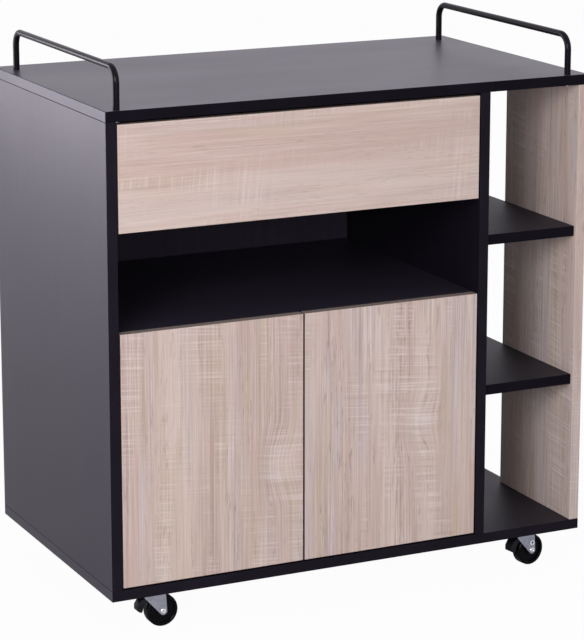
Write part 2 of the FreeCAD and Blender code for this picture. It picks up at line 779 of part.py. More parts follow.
# Casters, each modelled about its kingpin and then put at its corner
plates, kingpins, caster_screws = [], [], []
corners = {
    "front_left": (left + d.caster_inset_x, front + d.caster_inset_y),
    "front_right": (right - d.caster_inset_x, front + d.caster_inset_y),
    "rear_left": (left + d.caster_inset_x, back - d.caster_inset_y),
    "rear_right": (right - d.caster_inset_x, back - d.caster_inset_y),
}
plate_low = d.caster_height - d.caster_plate_steel
race_low = plate_low - d.race_height
fork_top = race_low - d.fit
fork_low = fork_top - d.fork_steel
axle_height = d.wheel_diameter / 2
hub_width = d.wheel_width + d.hub_proud * 2
fork_inner = hub_width / 2 + d.fit
fork_outer = fork_inner + d.fork_steel
for corner, (centre_x, centre_y) in corners.items():
    plate = box(
        centre_x - d.caster_plate / 2, centre_y - d.caster_plate / 2, plate_low,
        d.caster_plate, d.caster_plate, d.caster_plate_steel,
    )
    race = rod(centre_x, centre_y, race_low, UP, d.race_diameter, d.race_height)
    pin_top = (centre_x, centre_y, plate_low)
    pin_hole = rod(
        *step(pin_top, DOWN, d.race_height + d.overrun), UP,
        d.kingpin + d.running_fit * 2, d.race_height + d.overrun,
    )
    plate_holes = [pin_hole]
    for side in (1, -1):
        for away in (1, -1):
            offset = d.caster_screw_spacing / 2
            seat = (centre_x + offset * side, centre_y + offset * away, plate_low)
            shank = d.caster_screw_grip + d.caster_plate_steel
            caster_screws.append(screw(
                seat, UP, d.caster_screw, shank, d.caster_screw_head, d.caster_screw_head_height
            ))
            plate_holes.append(hole(seat, UP, d.caster_screw, d.caster_plate_steel))
            cuts["bottom_panel"].append(hole(seat, UP, d.caster_screw, shank))
    plates.append(cut(fuse([plate, race]), plate_holes))
    head_top = fork_low - d.fit
    kingpins.append(fuse([
        rod(centre_x, centre_y, head_top, UP, d.kingpin, plate_low - head_top),
        rod(centre_x, centre_y, head_top, DOWN, d.kingpin_head, d.kingpin_head_height),
    ]))

    yaw = Rotation(UP, CASTER_TURN_DEG[corner])
    half_top = d.fork_top_width / 2
    leg_points = (
        (-half_top, fork_top - d.fork_skirt), (-half_top, fork_top), (half_top, fork_top),
        (d.trail + d.fork_tip, axle_height), (d.trail - d.fork_tip_back, axle_height - d.fork_tip_fall),
    )
    pieces = [box(-half_top, -fork_outer, fork_low, d.fork_top_width, fork_outer * 2, d.fork_steel)]
    for start in (-fork_outer, fork_inner):
        leg = padded("XZ_Plane", leg_points, d.fork_steel, True)
        pieces.append(place(leg, 0, start, 0))
        pieces.append(rod(d.trail, start, axle_height, BACK, d.fork_tip * 2, d.fork_steel))
    across = fork_outer * 2 + d.overrun * 2
    fork_holes = [
        rod(d.trail, -fork_outer - d.overrun, axle_height, BACK, d.axle + d.running_fit * 2, across),
        rod(0, 0, fork_low - d.overrun, UP, d.kingpin + d.running_fit * 2, d.fork_steel + d.overrun * 2),
    ]
    if corner in BRAKED_CASTERS:
        pivot_z = fork_top - d.pedal_pivot_drop
        trunnion_end = fork_inner + d.pedal_trunnion_hold
        fork_holes.append(rod(
            -d.pedal_pivot_back, -trunnion_end - d.fit, pivot_z, BACK,
            d.pedal_trunnion + d.running_fit * 2, trunnion_end * 2 + d.fit * 2,
        ))
        pedal_points = [(d.pedal_length * x, d.pedal_length * y) for x, y in PEDAL_SHARES]
        lever = padded("XZ_Plane", pedal_points, d.pedal_width, True)
        place(lever, -d.pedal_pivot_back, -d.pedal_width / 2, pivot_z)
        trunnion = rod(-d.pedal_pivot_back, -trunnion_end, pivot_z, BACK, d.pedal_trunnion, trunnion_end * 2)
        pedal = node(f"{corner}_brake_pedal", fuse([lever, trunnion]))
        place(pedal, centre_x, centre_y, 0, yaw)
    fork = node(f"{corner}_fork", cut(fuse(pieces), fork_holes))
    place(fork, centre_x, centre_y, 0, yaw)

    axle = node(f"{corner}_axle", fuse([
        rod(d.trail, -fork_outer, axle_height, BACK, d.axle, fork_outer * 2),
        rod(d.trail, -fork_outer, axle_height, FRONT, d.axle_head, d.axle_head_height),
        rod(d.trail, fork_outer, axle_height, BACK, d.axle_head, d.axle_head_height),
    ]))
    place(axle, centre_x, centre_y, 0, yaw)

    bore = d.axle / 2 + d.running_fit
    rim = d.wheel_diameter / 2 - d.wheel_rim
    tread = d.wheel_diameter / 2
    hub = d.hub_diameter / 2
    half_section = [
        (bore, hub_width / 2), (hub, hub_width / 2), (hub, d.wheel_web / 2), (rim, d.wheel_web / 2),
        (rim, d.wheel_width / 2), (tread - d.wheel_edge, d.wheel_width / 2),
        (tread, d.wheel_width / 2 - d.wheel_edge),
    ]
    section = half_section + [(x, -y) for x, y in reversed(half_section)]
    disc = place(turned("XY_Plane", section), d.trail, 0, axle_height)
    wheel = node(f"{corner}_wheel", group([disc]))
    place(wheel, centre_x, centre_y, 0, yaw)
node("caster_plates", group(plates))
node("caster_kingpins", group(kingpins))
node("caster_screws", group(caster_screws))

# The boards, with everything that is cut in them
for name, block in blocks.items():
    node(name, cut(block, cuts[name]))

doc.recompute()
for item in doc.Objects:
    if "Invalid" in item.State or "Error" in item.State:
        raise RuntimeError(f"{item.Label} did not build: {item.State}")
for name, piece in nodes.items():
    if piece.Shape.isNull() or not piece.Shape.isValid():
        raise RuntimeError(f"{name} is not a sound shape")
os.makedirs("parts", exist_ok=True)
for name, piece in nodes.items():
    piece.Shape.exportStep(f"parts/{name}.step")
print(len(nodes), "nodes,", sum(len(piece.Shape.Solids) for piece in nodes.values()), "solids")
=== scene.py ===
"""The looks of a kitchen cart: black satin boards, sawn-oak fronts, rod handles and small casters."""
import json
import logging
import math
from dataclasses import dataclass, field, replace
from enum import Enum

import bmesh
import bpy
from mathutils import Matrix, Vector

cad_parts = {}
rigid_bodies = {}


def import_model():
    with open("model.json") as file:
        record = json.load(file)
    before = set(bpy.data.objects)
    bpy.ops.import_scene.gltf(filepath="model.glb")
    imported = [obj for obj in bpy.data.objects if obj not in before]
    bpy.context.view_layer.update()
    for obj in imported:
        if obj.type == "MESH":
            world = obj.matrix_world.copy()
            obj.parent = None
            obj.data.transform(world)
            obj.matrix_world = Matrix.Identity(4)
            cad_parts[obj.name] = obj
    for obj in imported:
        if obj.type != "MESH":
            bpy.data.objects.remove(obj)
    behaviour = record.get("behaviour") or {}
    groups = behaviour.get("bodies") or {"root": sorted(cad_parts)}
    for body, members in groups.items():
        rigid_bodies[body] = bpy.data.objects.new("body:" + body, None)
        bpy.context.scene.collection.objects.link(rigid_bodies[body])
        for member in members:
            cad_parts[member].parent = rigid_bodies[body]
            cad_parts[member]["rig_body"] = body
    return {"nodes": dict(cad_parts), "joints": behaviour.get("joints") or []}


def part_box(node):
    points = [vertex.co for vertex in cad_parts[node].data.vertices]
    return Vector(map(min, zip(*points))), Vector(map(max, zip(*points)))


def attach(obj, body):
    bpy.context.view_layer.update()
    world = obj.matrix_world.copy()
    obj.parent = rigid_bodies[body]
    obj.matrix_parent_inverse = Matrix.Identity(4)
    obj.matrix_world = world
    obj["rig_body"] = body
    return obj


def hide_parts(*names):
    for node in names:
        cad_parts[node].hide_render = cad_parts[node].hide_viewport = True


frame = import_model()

LOG = logging.getLogger("kitchen_cart")
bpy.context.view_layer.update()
CORNERS = ("front_left", "front_right", "rear_left", "rear_right")
SIDES = ("left", "right")

# How far a seed moves a figure along each axis
SEED_SHARES = (1, 0.7, 1.3)
# The roughness of the noise in the oak's layers
OAK_ROUGHNESS = 0.58
# Points nearer than this, in metres, are one point
WELD_GAP = 1e-6
# Faces that meet at less than this are one face
FLAT_ANGLE = math.radians(0.5)
# Edges that turn by more than this are rounded over
ROUNDED_ANGLE = math.radians(40)
# Edges that turn by more than this are shaded sharp
SHARP_ANGLE = math.radians(32)
# Broad flat faces, from this many square metres, are shaded flat
BROAD_AREA = 0.0004
# Steps in a rounded edge
EASE_STEPS = 2
# The profile that makes such an edge a part of a circle
ROUND_PROFILE = 0.5
# How squarely a board's broad side faces its thin axis, from 0 to 1
BROAD_FACING = 0.8

Colour = tuple[float, float, float]
Point = tuple[float, float, float]
Section = list[tuple[float, float]]
Socket = bpy.types.NodeSocket
Number = float | Socket
Tone = Colour | Socket
Value = float | Colour | Vector | Socket


class Axis(Enum):
    """The direction that a board's grain or a brushed metal's lines run in."""

    X = 0
    Y = 1
    Z = 2

    def stretch(self, along: float, across: float) -> Vector:
        """A vector with one value along this axis and another across it."""
        return Vector([along if axis is self else across for axis in Axis])

    def following(self) -> "Axis":
        """The next axis in turn."""
        return Axis((self.value + 1) % len(Axis))


@dataclass(frozen=True)
class Ramp:
    """A soft step: a layer's values from low to high become start to end."""

    low: float
    high: float
    start: float = 0
    end: float = 1

    def onto(self, start: float, end: float) -> "Ramp":
        """The same step between other levels."""
        return replace(self, start=start, end=end)

    def times(self, share: float) -> "Ramp":
        """The same step with both levels scaled."""
        return self.onto(self.start * share, self.end * share)


@dataclass(frozen=True)
class Layer:
    """One layer of noise in a finish.

    The first two are repeats per metre along and across the grain. The tilt is a small turn about
    both level axes before the stretch, in radians.
    """

    along: float
    across: float
    seed: float = 0
    detail: float = 2
    roughness: float = 0.5
    swirl: float = 0
    tilt: float = 0


class Graph:
    """A material's node tree, with short calls for the nodes that the finishes use."""

    def __init__(self, material: bpy.types.Material) -> None:
        """Start from the material's own surface shader."""
        material.use_nodes = True
        self.tree = material.node_tree
        self.shader = self.tree.nodes["Principled BSDF"]

    def feed(self, socket: Socket, value: Value) -> None:
        """Give an input a constant or link another node's output to it."""
        if isinstance(value, Socket):
            self.tree.links.new(value, socket)
        else:
            socket.default_value = value

    def node(self, kind: str, **inputs: Value) -> bpy.types.Node:
        """Add a node and set its inputs.

        Args:
            kind: The node's type.
            inputs: Input sockets by name, each a constant or another node's output.

        Returns:
            The node.
        """
        node = self.tree.nodes.new(kind)
        for name, value in inputs.items():
            self.feed(node.inputs[name.replace("_", " ")], value)
        return node

    def set(self, **inputs: Value) -> None:
        """Set inputs of the surface shader by name."""
        for name, value in inputs.items():
            colour = isinstance(value, tuple)
            self.feed(self.shader.inputs[name.replace("_", " ")], (*value, 1.0) if colour else value)

    def place(self) -> Socket:
        """The piece's own coordinates, in metres."""
        return self.node("ShaderNodeTexCoord").outputs["Object"]

    def spot(self, layer: Layer, grain: Axis, seed: float, place: Socket | None) -> Socket:
        """Coordinates stretched for a layer and moved to a place of the piece's own.

        Args:
            layer: The layer.
            grain: The axis that the layer runs along.
            seed: A number that sets one board's figure apart from another's.
            place: Coordinates to start from, if not the piece's own.

        Returns:
            The stretched coordinates.
        """
        if place is None:
            place = self.place()
        if layer.tilt:
            turn = Vector((layer.tilt, layer.tilt, 0))
            place = self.node("ShaderNodeMapping", Vector=place, Rotation=turn).outputs["Vector"]
        shift = Vector([share * (seed + layer.seed) for share in SEED_SHARES])
        stretch = grain.stretch(layer.along, layer.across)
        mapping = self.node("ShaderNodeMapping", Vector=place, Location=shift, Scale=stretch)
        return mapping.outputs["Vector"]

    def noise(
        self, layer: Layer, grain: Axis = Axis.X, seed: float = 0, place: Socket | None = None
    ) -> Socket:
        """Soft noise between 0 and 1.

        Args:
            layer: The layer's stretch and character.
            grain: The axis that the layer runs along.
            seed: A number that sets one board's figure apart from another's.
            place: Coordinates to start from, if not the piece's own.

        Returns:
            The noise.
        """
        node = self.node(
            "ShaderNodeTexNoise",
            Vector=self.spot(layer, grain, seed, place),
            Scale=1.0,
            Detail=layer.detail,
            Roughness=layer.roughness,
            Distortion=layer.swirl,
        )
        return node.outputs["Fac"]

    def wave(self, layer: Layer, grain: Axis, seed: float) -> Socket:
        """Bands along the grain, bent by noise.

        Args:
            layer: The layer's stretch, detail and swirl.
            grain: The axis that the bands run along.
            seed: A number that sets one board's figure apart from another's.

        Returns:
            The bands, between 0 and 1.
        """
        where = self.spot(layer, grain, seed, None)
        node = self.node(
            "ShaderNodeTexWave", Vector=where, Scale=1.0, Distortion=layer.swirl, Detail=layer.detail
        )
        node.bands_direction = grain.following().name
        return node.outputs["Fac"]

    def step(self, value: Socket, ramp: Ramp) -> Socket:
        """A value after a soft step.

        Args:
            value: The value, often a layer of noise.
            ramp: The step.

        Returns:
            The new value.
        """
        node = self.node("ShaderNodeMapRange", Value=value)
        node.interpolation_type = "SMOOTHSTEP"
        node.inputs["From Min"].default_value = ramp.low
        node.inputs["From Max"].default_value = ramp.high
        node.inputs["To Min"].default_value = ramp.start
        node.inputs["To Max"].default_value = ramp.end
        return node.outputs["Result"]

    def combine(self, kind: str, operation: str, first: Value, second: Value) -> bpy.types.Node:
        """Add a node that works on two values.

        Args:
            kind: The node's type.
            operation: What it does with them.
            first: The first value.
            second: The second value.

        Returns:
            The node.
        """
        node = self.tree.nodes.new(kind)
        node.operation = operation
        self.feed(node.inputs[0], first)
        self.feed(node.inputs[1], second)
        return node

    def sums(self, operation: str, first: Number, second: Number) -> Socket:
        """One sum of two numbers."""
        return self.combine("ShaderNodeMath", operation, first, second).outputs[0]

    def vectors(self, operation: str, first: Value, second: Value) -> Socket:
        """One sum of two vectors, or the distance between them."""
        node = self.combine("ShaderNodeVectorMath", operation, first, second)
        return node.outputs["Value" if operation == "DISTANCE" else "Vector"]

    def share(self, value: Socket, ramp: Ramp, other: Socket) -> Socket:
        """A layer's share after a soft step, scaled by another layer."""
        return self.sums("MULTIPLY", self.step(value, ramp), other)

    def blend(self, share: Number, first: Tone, second: Tone) -> Socket:
        """Mix two colours.

        Args:
            share: How much of the second colour shows.
            first: A colour or another mix.
            second: A colour or another mix.

        Returns:
            The mixed colour.
        """
        node = self.tree.nodes.new("ShaderNodeMix")
        node.data_type = "RGBA"
        self.feed(node.inputs["Factor"], share)
        for slot, colour in (("A", first), ("B", second)):
            socket = next(item for item in node.inputs if item.name == slot and item.type == "RGBA")
            self.feed(socket, colour if isinstance(colour, Socket) else (*colour, 1.0))
        return next(item for item in node.outputs if item.type == "RGBA")

    def bump(self, height: Socket, depth: float) -> None:
        """Raise the surface by a height of the given depth in metres."""
        node = self.node("ShaderNodeBump", Height=height, Distance=depth, Strength=1.0)
        self.feed(self.shader.inputs["Normal"], node.outputs["Normal"])


@dataclass(frozen=True)
class Finish:
    """A finish of the cart, made into a material once and shared."""

    title: str

    def material(self) -> bpy.types.Material:
        """The finish's material, made at its first use."""
        material = bpy.data.materials.get(self.title)
        if material is None:
            material = bpy.data.materials.new(self.title)
            self.paint(Graph(material))
        return material

    def paint(self, graph: Graph) -> None:
        """Build the finish's nodes; each kind of finish has its own.

        Args:
            graph: The material's nodes.
        """
        raise NotImplementedError


@dataclass(frozen=True)
class Melamine(Finish):
    """Satin printed film on a board, with a faint pressed grain."""

    grain: Axis
    seed: float = 0
    colour: Colour = (0.0150, 0.0118, 0.0205)
    lighter: Colour = (0.0200, 0.0160, 0.0265)
    tint: Colour = (0.95, 0.91, 1.0)
    sheen_low: float = 0.37
    sheen_high: float = 0.41
    specular: float = 0.62
    grain_depth: float = 0.00003
    streaks: Layer = Layer(3, 90, detail=4, roughness=0.6)
    pores: Layer = Layer(40, 700)
    clouds: Layer = Layer(2, 5)
    streaked: Ramp = Ramp(0.35, 0.75)
    pored: Ramp = Ramp(0.45, 0.6)
    clouded: Ramp = Ramp(0.3, 0.7)

    def paint(self, graph: Graph) -> None:
        """Faint streaks in colour and sheen, and fine pressed pores.

        Args:
            graph: The material's nodes.
        """
        streaks = graph.noise(self.streaks, self.grain, self.seed)
        pores = graph.noise(self.pores, self.grain, self.seed)
        clouds = graph.noise(self.clouds, self.grain, self.seed)
        graph.set(
            Base_Color=graph.blend(graph.step(streaks, self.streaked), self.colour, self.lighter),
            Roughness=graph.step(clouds, self.clouded.onto(self.sheen_low, self.sheen_high)),
            Specular_IOR_Level=self.specular,
            Specular_Tint=self.tint,
        )
        graph.bump(graph.sums("ADD", streaks, graph.step(pores, self.pored)), self.grain_depth)


@dataclass(frozen=True)
class EdgeBand(Finish):
    """Matt plastic strip glued to a board's edge."""

    colour: Colour = (0.0085, 0.0066, 0.0112)
    specular: float = 0.08
    lightening: float = 1.5
    depth: float = 0.00003
    smudges: Layer = Layer(14, 14, 2, 5, 0.65)
    flecks: Layer = Layer(900, 900, 5)
    smudged: Ramp = Ramp(0.4, 0.8)
    sheen: Ramp = Ramp(0.3, 0.75, 0.58, 0.42)

    def paint(self, graph: Graph) -> None:
        """A plain dark strip with slight handling marks.

        Args:
            graph: The material's nodes.
        """
        smudges = graph.noise(self.smudges)
        lighter = tuple(self.lightening * part for part in self.colour)
        graph.set(
            Base_Color=graph.blend(graph.step(smudges, self.smudged), self.colour, lighter),
            Roughness=graph.step(smudges, self.sheen),
            Specular_IOR_Level=self.specular,
        )
        graph.bump(graph.noise(self.flecks), self.depth)


@dataclass(frozen=True)
class SawnOak(Finish):
    """Pale oak print with soft bands, long streaks, dark pores and patches of cross saw marks.

    The figure scales the strength of the marks, the wash that of the lilac and ochre bands.
    """

    grain: Axis
    seed: float = 0
    pale: Colour = (0.648, 0.540, 0.453)
    rosy: Colour = (0.572, 0.440, 0.370)
    lilac: Colour = (0.560, 0.496, 0.470)
    ochre: Colour = (0.575, 0.466, 0.336)
    dark: Colour = (0.286, 0.214, 0.178)
    chalk: Colour = (0.800, 0.735, 0.688)
    # Below 1 the whole tone is darkened towards the dark colour: painted shade on the doors and on the side
    # edges seen in the gaps between fronts, a darker band colour on the other edge bands
    shade: float = 1.0
    figure: float = 1.0
    wash: float = 0.65
    specular: float = 0.32
    pore_depth: float = 0.00012
    streak_relief: float = 0.4
    saw_relief: float = 0.5

    knot: Point | None = None
    knot_length: float = 0.080
    knot_width: float = 0.050
    knot_swing: float = 0.016
    knot_saws: float = 1.3
    knot_edge: Ramp = Ramp(0, 1, 1, 0)
    knot_chalk: Ramp = Ramp(0.35, 0.95, 0, 0.22)

    bands: Layer = Layer(0.9, 13, 0, 3, OAK_ROUGHNESS, 0.4)
    warmth: Layer = Layer(2.2, 24, 3.1, 3, OAK_ROUGHNESS, 0.3)
    cool: Layer = Layer(1.6, 26, 17.3, 3, OAK_ROUGHNESS, 0.3)
    flames: Layer = Layer(1.4, 30, 2.2, 3, swirl=9)
    streaks: Layer = Layer(2.2, 150, 5.3, 5, OAK_ROUGHNESS)
    threads: Layer = Layer(7, 520, 7.7, 3, OAK_ROUGHNESS)
    dashes: Layer = Layer(42, 430, 15.1, 2, OAK_ROUGHNESS)
    rows: Layer = Layer(3, 60, 19.7, 2, OAK_ROUGHNESS)
    pores: Layer = Layer(26, 1000, 9.1, 2, OAK_ROUGHNESS)
    columns: Layer = Layer(3.4, 20, 11.9, 2, OAK_ROUGHNESS, 0.2)
    saws: Layer = Layer(310, 7, 13.3, 1, OAK_ROUGHNESS, 0, -0.09)
    calm: Layer = Layer(1.8, 9, 23.9, 2, OAK_ROUGHNESS)

    banded: Ramp = Ramp(0.38, 0.62)
    cooled: Ramp = Ramp(0.50, 0.66)
    warmed: Ramp = Ramp(0.54, 0.70)
    flamed: Ramp = Ramp(0.72, 1.0, 0, 0.20)
    flame_bands: Ramp = Ramp(0.45, 0.6)
    lively: Ramp = Ramp(0.36, 0.62, 0.40)
    streaked: Ramp = Ramp(0.50, 0.76, 0, 0.30)
    dark_threads: Ramp = Ramp(0.50, 0.66, 0, 0.24)
    pale_threads: Ramp = Ramp(0.34, 0.49, 0.30, 0)
    dashed: Ramp = Ramp(0.54, 0.68, 0, 0.36)
    dash_rows: Ramp = Ramp(0.46, 0.60)
    pored: Ramp = Ramp(0.62, 0.72, 0, 0.30)
    saw_columns: Ramp = Ramp(0.49, 0.64)
    saw_ridges: Ramp = Ramp(0.55, 0.66, 0, 0.28)
    saw_grooves: Ramp = Ramp(0.34, 0.46, 0.12, 0)
    sheen: Ramp = Ramp(0.3, 0.7, 0.46, 0.60)

    def near_knot(self, graph: Graph) -> Socket:
        """How near the knot each place is.

        Args:
            graph: The material's nodes.

        Returns:
            1 at the knot's middle, 0 outside it.
        """
        squeeze = self.grain.stretch(1 / self.knot_length, 1 / self.knot_width)
        squeezed = graph.vectors("MULTIPLY", graph.place(), squeeze)
        gap = graph.vectors("DISTANCE", squeezed, Vector(self.knot) * squeeze)
        return graph.step(gap, self.knot_edge)

    def swung(self, graph: Graph, near: Socket) -> Socket:
        """The piece's own coordinates, moved aside near the knot.

        Args:
            graph: The material's nodes.
            near: How near the knot each place is.

        Returns:
            The coordinates.
        """
        aside = graph.node("ShaderNodeCombineXYZ", X=graph.sums("MULTIPLY", near, self.knot_swing))
        return graph.vectors("ADD", graph.place(), aside.outputs["Vector"])

    def paint(self, graph: Graph) -> None:
        """Lay the bands, flames, streaks, pores and saw marks over each other.

        Args:
            graph: The material's nodes.
        """
        near = self.near_knot(graph) if self.knot else None
        place = self.swung(graph, near) if self.knot else graph.place()

        def noise(layer: Layer) -> Socket:
            """One layer of this board's figure."""
            return graph.noise(layer, self.grain, self.seed, place)

        # Soft bands and flames
        bands = noise(self.bands)
        tone = graph.blend(graph.step(bands, self.banded), self.pale, self.rosy)
        tone = graph.blend(graph.step(noise(self.cool), self.cooled.times(self.wash)), tone, self.lilac)
        tone = graph.blend(graph.step(noise(self.warmth), self.warmed.times(self.wash)), tone, self.ochre)
        flames = graph.wave(self.flames, self.grain, self.seed)
        tone = graph.blend(
            graph.share(flames, self.flamed, graph.step(bands, self.flame_bands)), tone, self.dark
        )

        # Streaks and threads with the grain, fainter in calm places
        streaks = noise(self.streaks)
        threads = noise(self.threads)
        lively = graph.step(noise(self.calm), self.lively.times(self.figure))
        tone = graph.blend(graph.share(streaks, self.streaked, lively), tone, self.dark)
        tone = graph.blend(graph.share(threads, self.dark_threads, lively), tone, self.dark)
        tone = graph.blend(graph.share(threads, self.pale_threads, lively), tone, self.chalk)

        # Fine pores, and dashes in rows
        rows = graph.step(noise(self.rows), self.dash_rows.times(self.figure))
        dashes = graph.share(noise(self.dashes), self.dashed, rows)
        pores = graph.step(noise(self.pores), self.pored.times(self.figure))
        pits = graph.sums("MAXIMUM", pores, dashes)
        tone = graph.blend(pits, tone, self.dark)

        # Saw marks across the grain, in columns and about the knot
        saws = noise(self.saws)
        columns = graph.step(noise(self.columns), self.saw_columns.times(self.figure))
        if self.knot:
            knot_saws = graph.sums("MULTIPLY", near, self.knot_saws * self.figure)
            columns = graph.sums("MAXIMUM", columns, knot_saws)
            tone = graph.blend(graph.step(near, self.knot_chalk), tone, self.chalk)
        ridges = graph.share(saws, self.saw_ridges, columns)
        tone = graph.blend(graph.share(saws, self.saw_grooves, columns), tone, self.dark)
        tone = graph.blend(ridges, tone, self.chalk)
        # Painted shade on the doors and the gap edges, a darker band colour on the other edge bands: the tone
        # darkened by the shade
        if self.shade != 1.0:
            tone = graph.blend(1 - self.shade, tone, self.dark)

        graph.set(
            Base_Color=tone, Roughness=graph.step(threads, self.sheen), Specular_IOR_Level=self.specular
        )
        relief = graph.sums("SUBTRACT", graph.sums("MULTIPLY", streaks, self.streak_relief), pits)
        raised = graph.sums("MULTIPLY", ridges, self.saw_relief)
        graph.bump(graph.sums("ADD", relief, raised), self.pore_depth)


@dataclass(frozen=True)
class PlatedSteel(Finish):
    """Pressed steel with a bright zinc or nickel plate."""

    colour: Colour = (0.54, 0.575, 0.65)
    dull: Colour = (0.38, 0.415, 0.48)
    gloss: float = 0.24
    worn: float = 0.44
    lines: Axis = Axis.Y
    depth: float = 0.00002
    clouds: Layer = Layer(90, 90, 1, 5, 0.6)
    rolled: Layer = Layer(30, 1600, 4)
    clouded: Ramp = Ramp(0.35, 0.75)
    sheen: Ramp = Ramp(0.3, 0.75)

    def paint(self, graph: Graph) -> None:
        """Cloudy plate with fine rolling lines.

        Args:
            graph: The material's nodes.
        """
        clouds = graph.noise(self.clouds)
        graph.set(
            Base_Color=graph.blend(graph.step(clouds, self.clouded), self.colour, self.dull),
            Metallic=1.0,
            Roughness=graph.step(clouds, self.sheen.onto(self.gloss, self.worn)),
        )
        graph.bump(graph.sums("ADD", graph.noise(self.rolled, self.lines), clouds), self.depth)


@dataclass(frozen=True)
class Coated(Finish):
    """A smooth coat, moulding or burnished ring, told apart by colour, sheen and texture."""

    colour: Colour
    worn: Colour
    gloss: float
    matt: float
    texture: float = 1400
    specular: float = 0.5
    depth: float = 0.00005
    skin_seed: float = 3
    rubs: Layer = Layer(35, 35, 8, 4, 0.6)
    rubbed: Ramp = Ramp(0.5, 0.8)
    sheen: Ramp = Ramp(0.3, 0.75)

    def paint(self, graph: Graph) -> None:
        """A fine orange-peel skin with lighter rubbed places.

        Args:
            graph: The material's nodes.
        """
        rubs = graph.noise(self.rubs)
        graph.set(
            Base_Color=graph.blend(graph.step(rubs, self.rubbed), self.colour, self.worn),
            Roughness=graph.step(rubs, self.sheen.onto(self.gloss, self.matt)),
            Specular_IOR_Level=self.specular,
        )
        graph.bump(graph.noise(Layer(self.texture, self.texture, self.skin_seed)), self.depth)


@dataclass(frozen=True)
class Beech(Finish):
    """Turned beech with short flecks."""

    colour: Colour = (0.62, 0.44, 0.28)
    fleck: Colour = (0.45, 0.28, 0.16)
    depth: float = 0.00005
    flecks: Layer = Layer(120, 500, 6, 3)
    flecked: Ramp = Ramp(0.5, 0.68)
    sheen: Ramp = Ramp(0.3, 0.7, 0.5, 0.65)

    def paint(self, graph: Graph) -> None:
        """Short darker flecks on a warm ground.

        Args:
            graph: The material's nodes.
        """
        flecks = graph.noise(self.flecks, Axis.Z)
        graph.set(
            Base_Color=graph.blend(graph.step(flecks, self.flecked), self.colour, self.fleck),
            Roughness=graph.step(flecks, self.sheen),
        )
        graph.bump(flecks, self.depth)


BLACK_EDGE = EdgeBand("black edge band")
DEEP_EDGE = EdgeBand("deep black edge band", (0.0052, 0.0040, 0.0072), 0.05)
BLACK_X = Melamine("black board, grain across the cart", Axis.X, tint=(0.900, 0.870, 1.0), specular=0.70)
# A darker copy of the black board: painted shade on the open bay's shelves and the bottom panel, also used on
# the drawer's sides
BLACK_Y_PAINTED_SHADE = Melamine(
    "black board, grain front to back", Axis.Y, 4, (0.0095, 0.0075, 0.0130), (0.0127, 0.0101, 0.0168),
    sheen_low=0.48, sheen_high=0.54, specular=0.26,
)
# A lighter copy of the black board on the compartment's floor: painted light in the dim compartment
BLACK_SHELF_PAINTED_LIGHT = Melamine("black shelf board", Axis.X, 6, (0.0240, 0.0195, 0.0310), (0.0300, 0.0245, 0.0380))
BLACK_Z = Melamine("black board, upright grain", Axis.Z, 9)
# A darker copy of the black board on the divider's left face, inside the compartment and cupboard: painted
# shade
BLACK_INSIDE_PAINTED_SHADE = Melamine(
    "black board, inside face", Axis.Z, 14, (0.0062, 0.0049, 0.0085), (0.0083, 0.0067, 0.0110),
    sheen_low=0.48, sheen_high=0.54, specular=0.22,
)
# Lighter than the black boards: partly the hardboard's own colour, partly painted light inside the dim
# compartment and cupboard
HARDBOARD = Melamine(
    "black hardboard", Axis.Z, 2, (0.034, 0.028, 0.043), (0.040, 0.033, 0.050),
    sheen_low=0.55, sheen_high=0.65, specular=0.2,
)
HARDBOARD_BACK = Melamine(
    "black hardboard, outer face", Axis.Z, 12, (0.0240, 0.0205, 0.0270), (0.0300, 0.0260, 0.0335),
    sheen_low=0.55, sheen_high=0.65, specular=0.3,
)
OAK_EDGE_FLAT = SawnOak("oak edge band, level grain", Axis.X, 21, dark=(0.150, 0.125, 0.105), shade=0.25)
# The side edges show only in the gaps between the fronts; their very dark tone is painted shade for the gaps
OAK_EDGE_SIDE_PAINTED_SHADE = SawnOak("oak edge band, upright grain", Axis.Z, 27, dark=(0.085, 0.060, 0.050), shade=0.12)
OAK_EDGE_FRONT = SawnOak("oak edge band, front", Axis.Z, 33, shade=0.85)
ZINC = PlatedSteel("bright zinc plate")
RIVET = PlatedSteel("polished rivet", (0.95, 0.96, 0.98), (0.84, 0.86, 0.90), 0.26, 0.38)
NICKEL = PlatedSteel("nickel plate", (0.66, 0.64, 0.61), (0.46, 0.44, 0.42), 0.16, 0.3)
RUNNER_ZINC = PlatedSteel("blue zinc plate", (0.50, 0.53, 0.58), (0.34, 0.37, 0.42), 0.26, 0.4)
CAST_ZINC = PlatedSteel("die-cast zinc", (0.45, 0.45, 0.46), (0.33, 0.33, 0.34), 0.38, 0.55)
POWDER = Coated("black powder coat", (0.005, 0.004, 0.006), (0.009, 0.008, 0.011), 0.13, 0.18, specular=0.12)
TREAD = Coated("moulded black wheel", (0.003, 0.003, 0.004), (0.008, 0.008, 0.010), 0.16, 0.27, 700, 0.10)
NYLON = Coated("moulded black nylon", (0.008, 0.008, 0.011), (0.017, 0.017, 0.021), 0.30, 0.45, 1100, 0.22)
# Near white and not metal, so that the ring shows bright from every side: a painted glint
BURNISHED_PAINTED_GLINT = Coated("burnished ring", (0.80, 0.82, 0.88), (0.70, 0.72, 0.78), 0.22, 0.34)
BEECH = Beech("turned beech")


def node_body(node: str) -> str:
    """The CAD body that a node belongs to."""
    return frame["nodes"][node]["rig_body"]


def joint(name: str) -> dict:
    """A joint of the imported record."""
    return next(item for item in frame["joints"] if item["name"] == name)


def show(name: str, mesh: bpy.types.Mesh) -> bpy.types.Object:
    """Put a mesh in the scene as an object.

    Args:
        name: The object's name.
        mesh: The mesh.

    Returns:
        The object.
    """
    piece = bpy.data.objects.new(name, mesh)
    bpy.context.scene.collection.objects.link(piece)
    return piece


